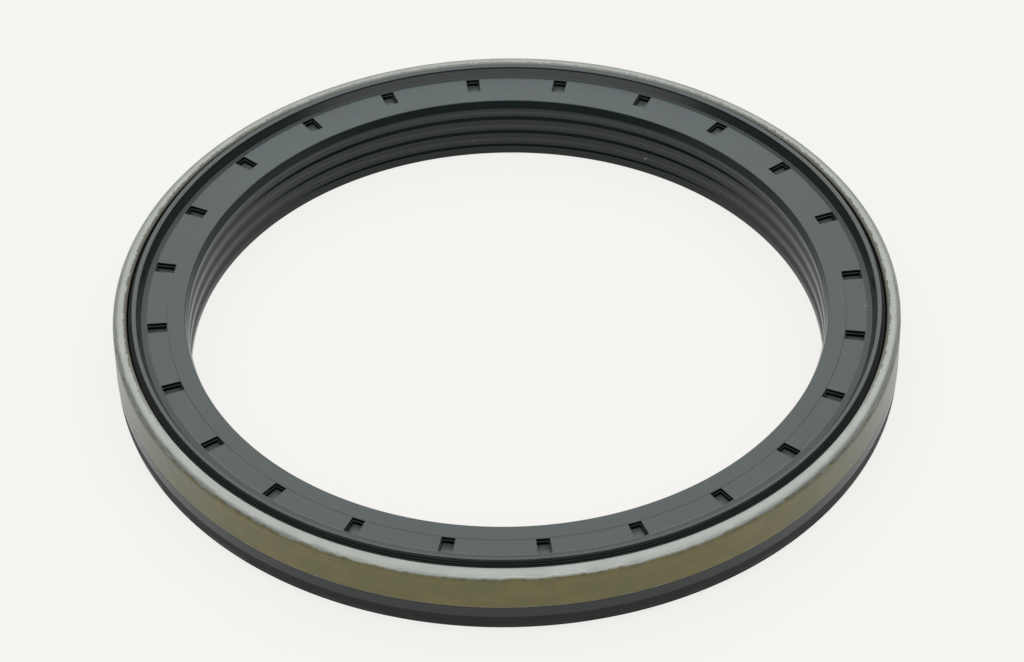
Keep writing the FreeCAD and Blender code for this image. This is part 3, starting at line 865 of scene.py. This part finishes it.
up = calculate(coil, "MULTIPLY_ADD", (-600, -650),
               calculate(coil, "SINE", (-800, -650), way_in_coil), asked["Coil radius"],
               asked["Height"])
bent = add(coil, "ShaderNodeCombineXYZ", (-200, -300), values={
    "X": calculate(coil, "MULTIPLY", (-400, -250), out, calculate(coil, "COSINE", (-600, -250), way_round)),
    "Y": calculate(coil, "MULTIPLY", (-400, -400), out, calculate(coil, "SINE", (-600, -350), way_round)),
    "Z": up})
moved = add(coil, "GeometryNodeSetPosition", (-100, 0), values={
    "Geometry": line.outputs[0], "Position": bent.outputs[0]})
curve = add(coil, "GeometryNodeMeshToCurve", (50, 0), values={0: moved.outputs[0]})
closed = add(coil, "GeometryNodeSetSplineCyclic", (200, 0), values={0: curve.outputs[0], "Cyclic": True})
profile = add(coil, "GeometryNodeCurvePrimitiveCircle", (200, -200), values={
    "Resolution": 5, "Radius": asked["Wire radius"]})
tube = add(coil, "GeometryNodeCurveToMesh", (350, 0), values={
    "Curve": closed.outputs[0], "Profile Curve": profile.outputs[0]})
smooth = add(coil, "GeometryNodeSetShadeSmooth", (450, 0), values={0: tube.outputs[0]})
painted = add(coil, "GeometryNodeSetMaterial", (700, 0), values={
    0: smooth.outputs[0], "Material": asked["Material"]})
wire(coil, painted.outputs[0], given[0])

# %% Garter spring
wire_r, coil_turns, points_a_turn = 0.17, 1180, 10
garter = bpy.data.objects.new("garter_coil", bpy.data.meshes.new("garter_coil"))
bpy.context.scene.collection.objects.link(garter)
made_by_nodes(garter, coil, {
    "Ring radius": spring_r * mm, "Height": spring_z * mm, "Coil radius": (coil_r - wire_r) * mm,
    "Wire radius": wire_r * mm, "Turns": coil_turns, "Points a turn": points_a_turn,
    "Material": spring_steel})
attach(garter, "outer_ring")
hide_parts("garter_spring")

# %% [markdown]
# ## The running sleeve
#
# A thin steel sleeve under the bore's rubber gives the lips something smooth to run on. Its
# flange stiffens the face and its rolled toe keeps the two rings together. Only the toe
# shows, from below.

# %% Sleeve
sleeve_sheet, sleeve_bend = 1.0, 0.6
sleeve_in_r, toe_r, flange_r = 66.4, 69.3, 75.2
sleeve_r = sleeve_in_r + sleeve_sheet
toe_z, flange_top = 0.35, 12.45
flange_low = flange_top - sleeve_sheet
big_bend = sleeve_bend + sleeve_sheet

sleeve_section = rounded_outline([
    (toe_r, toe_z, cut_edge), (toe_r, toe_z + sleeve_sheet, cut_edge),
    (sleeve_r, toe_z + sleeve_sheet, sleeve_bend), (sleeve_r, flange_low, sleeve_bend),
    (flange_r, flange_low, cut_edge), (flange_r, flange_top, cut_edge),
    (sleeve_in_r, flange_top, big_bend), (sleeve_in_r, toe_z, big_bend),
], arc_step=12)
sleeve_ring = turned_ring("sleeve_ring", sleeve_section, sleeve_steel)
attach(sleeve_ring, "inner_ring")
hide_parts("running_sleeve")

# %% [markdown]
# ## The inner ring's rubber
#
# The grey moulding has a ribbed bore, a flat face with a shallow channel, a raised collar
# with fine grooves in its outer wall, and 24 pockets where pins held the steel sleeve in the
# mould. Between the face and the collar the surface first falls a little. The bore's three
# valleys are soft waves, so each is a cosine rather than a list of corners. The pockets set
# the rule: the ring is one slice of 15 degrees, made 24 times. The slice is modelled once,
# with one pocket in its middle, and a Geometry Nodes tree repeats it and welds the joins.
# That is lighter and cleaner than cutting 24 holes with booleans, which leave long thin faces.

# %% Cover section
valleys, lowest_valley_z, valley_pitch = 3, 3.05, 3.73
valley_half, valley_deep, half_steps = 1.5, 0.42, 8
ribs = []
for valley in reversed(range(valleys)):
    for k in range(-half_steps, half_steps + 1):
        way = -k / half_steps
        ribs.append((bore_r + valley_deep * (1 + math.cos(math.pi * way)) / 2,
                     lowest_valley_z + valley_pitch * valley + valley_half * way))

groove_flare, groove_deep, crisp = 0.2333, 0.2, 0.05
grooves = []
for k in range(groove_count, 0, -1):
    grooves.append((crown_out_r + groove_flare * k, groove_top - groove_pitch * k, crisp))
    grooves.append((crown_out_r + groove_flare * (k - 1) - groove_deep,
                    groove_top - groove_pitch * (k - 0.5), crisp))

face = [(channel_out_r, channel_z), (channel_in_r, channel_z), (channel_in_r - 0.02, face_z, 0.04),
        (mouth_r, face_z, 0.25)]
bore = [(bore_r, mouth_low, thin), *ribs, (bore_r, 0.3, thin)]
foot = [(65.1, 0.0, thin), (68.75, 0.0, soft), (68.95, toe_z)]
along_the_sleeve = [(sleeve_in_r, toe_z, big_bend), (sleeve_in_r, flange_top, big_bend),
                    (flange_r, flange_top, cut_edge), (flange_r, flange_low, cut_edge),
                    (71.8, flange_low)]
underside = [(71.8, 11.0, thin), (76.8, 11.0, 0.4)]
crown_ring = [(crown_out_r, groove_top, crisp), (crown_out_r - 0.1, crown_top, crisp),
              (crown_in_r, 15.76, thin), (crown_in_r - 0.1, 15.413, 0.06), (dip_r, dip_z, thin),
              (channel_out_r + 0.02, face_z, thin)]
cover_section = rounded_outline(face + bore + foot + along_the_sleeve + underside + grooves + crown_ring)
print("the cover's section has", len(cover_section), "points")

# %% [markdown]
# The channel's floor is left out of the turned slice and made by hand, because the pocket
# opens in it. Loops of points go down the pocket, one below the other: the eased mouth, the
# wall, the narrow ledge where the pin's shoulder stood, the well, and the floor. Each loop
# has the same number of points, so they join with plain four-sided faces, and the first loop
# lies on the lines of the turned slice, so the pocket is sewn into the face with no gap.

# %% Loops of a pocket
pocket_mid_r = (channel_in_r + channel_out_r) / 2
mouth_half = 1.375
frame_half = mouth_half + 0.1
frame_corner = 0.2


def spread(start, end, count):
    """Count values between two ends, without the ends."""
    return [start + (end - start) * (k + 1) / (count + 1) for k in range(count)]


def pocket_loop(half_along, half_across, corner, height, square=False):
    """Loop of (radius, angle, height) round a pocket. Along is round the ring, across is radial."""
    loop = []
    for quarter in range(4):
        sign_s = 1 if quarter in (0, 3) else -1
        sign_r = 1 if quarter in (0, 1) else -1
        middle = Vector((sign_s * (half_along - corner), sign_r * (half_across - corner)))
        for k in range(3):
            turn = math.radians(90 * quarter + 45 * k)
            offset = Vector((math.cos(turn), math.sin(turn)))
            if square and k == 1:
                offset = Vector((sign_s, sign_r))
            loop.append(middle + offset * corner)
        if quarter in (0, 2):
            start, end = half_along - corner, corner - half_along
            loop += [Vector((s * sign_s, sign_r * half_across)) for s in spread(start, end, 4)]
        else:
            start, end = half_across - corner, corner - half_across
            loop += [Vector((sign_s * half_along, r * sign_r)) for r in spread(start, end, 3)]
    return [(pocket_mid_r + p.y, p.x / pocket_mid_r, height) for p in loop]


channel_half = (channel_out_r - channel_in_r) / 2
well = channel_half - 0.08
pocket_loops = [pocket_loop(frame_half, channel_half, frame_corner, channel_z, square=True)]
for wider, corner, depth in ((0.04, 0.16, 0), (0.01, 0.14, 0.02), (0, 0.13, 0.07), (0, 0.13, 0.72),
                             (-0.03, 0.12, 0.75), (-0.10, 0.10, 0.76), (-0.12, 0.10, 0.79),
                             (-0.12, 0.10, 1.50), (-0.15, 0.08, 1.58), (-0.25, 0.06, 1.60)):
    pocket_loops.append(pocket_loop(mouth_half + wider, well + wider, corner, channel_z - depth))
print("a pocket has", len(pocket_loops), "loops of", len(pocket_loops[0]), "points")

# %% [markdown]
# The slice's columns of points stand where the pocket's first loop needs them, and evenly
# elsewhere. Three between the pocket and the slice's end are enough: at a radius of 76 mm
# the ring is then 0.007 mm from round.

# %% One slice of the cover
pockets = 24
first_pocket = math.radians(5.16)
slice_half = math.pi / pockets
columns_beside = 3


def on_ring(radius, angle, height):
    """Point in metres from its distance to the axis, its angle and its height."""
    return Vector((radius * math.cos(angle), radius * math.sin(angle), height)) * mm


inner_columns = sorted({round(angle, 9) for r, angle, _ in pocket_loops[0]})
edge_angle = inner_columns[-1]
columns = ([-slice_half] + spread(-slice_half, -edge_angle, columns_beside) + inner_columns
           + spread(edge_angle, slice_half, columns_beside) + [slice_half])
floor_rows = sorted({round(r, 9) for r, _, _ in pocket_loops[0]})

tool = bmesh.new()
turned_part = cover_section[1:] + cover_section[:1]
grid = [[tool.verts.new(on_ring(p[0], a, p[1])) for p in turned_part] for a in columns]
for here, after in zip(grid, grid[1:]):
    for i in range(len(turned_part) - 1):
        tool.faces.new((here[i], here[i + 1], after[i + 1], after[i]))
floor = [[tool.verts.new(on_ring(r, a, channel_z)) for r in floor_rows] for a in columns]
for j in range(len(columns) - 1):
    if columns[j] >= -edge_angle - 1e-6 and columns[j + 1] <= edge_angle + 1e-6:
        continue
    for i in range(len(floor_rows) - 1):
        tool.faces.new((floor[j][i], floor[j][i + 1], floor[j + 1][i + 1], floor[j + 1][i]))
loops = [[tool.verts.new(on_ring(*p)) for p in loop] for loop in pocket_loops]
for upper, lower in zip(loops, loops[1:]):
    for i in range(len(upper)):
        tool.faces.new((upper[i - 1], upper[i], lower[i], lower[i - 1]))
tool.faces.new(loops[-1])
cover = finished("cover_ring", tool)
cover.data.materials.append(cover_rubber)
print("one slice has", len(cover.data.polygons), "faces")

# %% Tree that repeats a slice round the axis
repeat, asked, given = new_group("Repeat round the axis", [
    ("Slice", "NodeSocketGeometry", None), ("Copies", "NodeSocketInt", 24),
    ("First angle", "NodeSocketFloat", 0.0), ("Weld distance", "NodeSocketFloat", 1e-6),
    ("Material", "NodeSocketMaterial", None)],
    [("Ring", "NodeSocketGeometry")], kind="GeometryNodeTree")
line = add(repeat, "GeometryNodeMeshLine", (-1200, -200), values={
    "Count": asked["Copies"], "Offset": (0, 0, 0)})
step = add(repeat, "GeometryNodeInputIndex", (-1400, -500)).outputs[0]
pitch = calculate(repeat, "DIVIDE", (-1200, -600), 2 * math.pi, asked["Copies"])
turn = calculate(repeat, "MULTIPLY_ADD", (-1000, -500), step, pitch, asked["First angle"])
about_axis = add(repeat, "ShaderNodeCombineXYZ", (-800, -500), values={"Z": turn})
copies = add(repeat, "GeometryNodeInstanceOnPoints", (-500, 0), values={
    "Points": line.outputs[0], "Instance": asked["Slice"], "Rotation": about_axis.outputs[0]})
real = add(repeat, "GeometryNodeRealizeInstances", (-200, 0), values={0: copies.outputs[0]})
weld = add(repeat, "GeometryNodeMergeByDistance", (0, 0), values={
    "Geometry": real.outputs[0], "Distance": asked["Weld distance"]})
painted = add(repeat, "GeometryNodeSetMaterial", (200, 0), values={
    0: weld.outputs[0], "Material": asked["Material"]})
wire(repeat, painted.outputs[0], given[0])

# %% [markdown]
# The slice is open at both ends, so which side of it is out can't be told. It can once the
# ring is closed, and the direction of its faces and its sharp edges are set then.

# %% The whole cover
made_by_nodes(cover, repeat, {"Copies": pockets, "First angle": first_pocket,
                              "Weld distance": 0.0005 * mm, "Material": cover_rubber})
tool = bmesh.new()
tool.from_mesh(cover.data)
bmesh.ops.recalc_face_normals(tool, faces=tool.faces)
open_edges = sum(1 for e in tool.edges if not e.is_manifold)
tool.to_mesh(cover.data)
tool.free()
cover.data.shade_smooth()
cover.data.set_sharp_from_angle(angle=math.radians(35))
dress_zones(cover, [
    (bore_rubber, 0, mouth_r - 0.04, 0, mouth_low),
    (shaded_rubber, bore_r, mouth_r - 0.02, mouth_low, face_z - 0.05),
    (shaded_rubber, channel_in_r, channel_out_r, pocket_floor_z + 0.07, pocket_ledge_z - 0.04),
    (shaded_rubber, channel_in_r, channel_out_r, pocket_ledge_z + 0.04, channel_z - 0.05),
    (shaded_rubber, crown_out_r - 0.06, crown_out_r + 1, flange_low, crown_top),
])
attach(cover, "inner_ring")
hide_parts("inner_ring_cover")
print("cover:", len(cover.data.polygons), "faces,", open_edges, "open edges")

# %% [markdown]
# ## Floor and light
#
# The photograph was taken on a white table under large soft lights. The floor here is a
# plain pale plane. The camera sees mostly its own even tone, with a part of the real lit
# surface mixed in, so that the ring's soft shadow stays on it. Reflections see less of the
# even tone and more of the lit surface, as they would on a real table.

# %% Floor
floor_mesh = bpy.data.meshes.new("floor")
half_floor = 6.0
floor_mesh.from_pydata([(-half_floor, -half_floor, 0), (half_floor, -half_floor, 0),
                        (half_floor, half_floor, 0), (-half_floor, half_floor, 0)], [], [(0, 1, 2, 3)])
floor_plane = bpy.data.objects.new("floor", floor_mesh)
bpy.context.scene.collection.objects.link(floor_plane)

pale = linear("f6f4f0")
floor_material = bpy.data.materials.new("floor_pale")
floor_material.use_nodes = True
tree = floor_material.node_tree
tree.nodes.clear()
lit = add(tree, "ShaderNodeBsdfDiffuse", (-400, 200), values={"Color": linear("eef4f5")})
even = add(tree, "ShaderNodeEmission", (-400, 0), values={"Color": pale, "Strength": 1.0})
path = add(tree, "ShaderNodeLightPath", (-900, 300)).outputs
mirrored = calculate(tree, "MAXIMUM", (-800, 100), path["Is Glossy Ray"], path["Is Transmission Ray"])
seen = calculate(tree, "MAXIMUM", (-600, 300),
                 calculate(tree, "MULTIPLY", (-750, 300), path["Is Camera Ray"], 0.90),
                 calculate(tree, "MULTIPLY", (-750, 100), mirrored, 0.40))
mixed = add(tree, "ShaderNodeMixShader", (-100, 100), values={0: seen, 1: lit.outputs[0], 2: even.outputs[0]})
add(tree, "ShaderNodeOutputMaterial", (100, 100), values={"Surface": mixed.outputs[0]})
floor_mesh.materials.append(floor_material)

# %% [markdown]
# Three flat lamps stand in for the large soft lights. One hangs overhead and one stands wide
# and low behind the ring: the flat face and the rim mirror both, and the falling strip inside
# the collar sees only the low one. A long low lamp in front of the table lights the collar's
# inner slope at the back of the ring, which faces it. The left and the right stay dark, as in
# the photograph, so the slope is dark there. A weak even world gives the rest.

# %% Lamps and world
def lamp(name, place, aim, width, length, power):
    """Flat soft lamp at a place, aimed at a point."""
    data = bpy.data.lights.new(name, "AREA")
    data.shape = "RECTANGLE"
    data.size, data.size_y = width, length
    data.energy = power
    lamp_object = bpy.data.objects.new(name, data)
    bpy.context.scene.collection.objects.link(lamp_object)
    direction = Vector(aim) - Vector(place)
    lamp_object.matrix_world = (Matrix.Translation(place)
                                @ direction.to_track_quat("-Z", "Y").to_matrix().to_4x4())
    return lamp_object


lamp("lamp_above", (0, 0.4, 1.25), (0, 0.4, 0), 2.2, 2.8, 26)
lamp("lamp_back", (0, 1.95, 1.05), (0, 0, 0), 4.4, 1.5, 16)
lamp("lamp_front", (0, -2.0, 1.1), (0, 0, 0), 6.0, 0.95, 20)

world = bpy.data.worlds.new("world")
world.use_nodes = True
world.node_tree.nodes["Background"].inputs["Color"].default_value = (1, 1, 1, 1)
world.node_tree.nodes["Background"].inputs["Strength"].default_value = 0.2
bpy.context.scene.world = world
bpy.context.scene.view_settings.view_transform = "Standard"
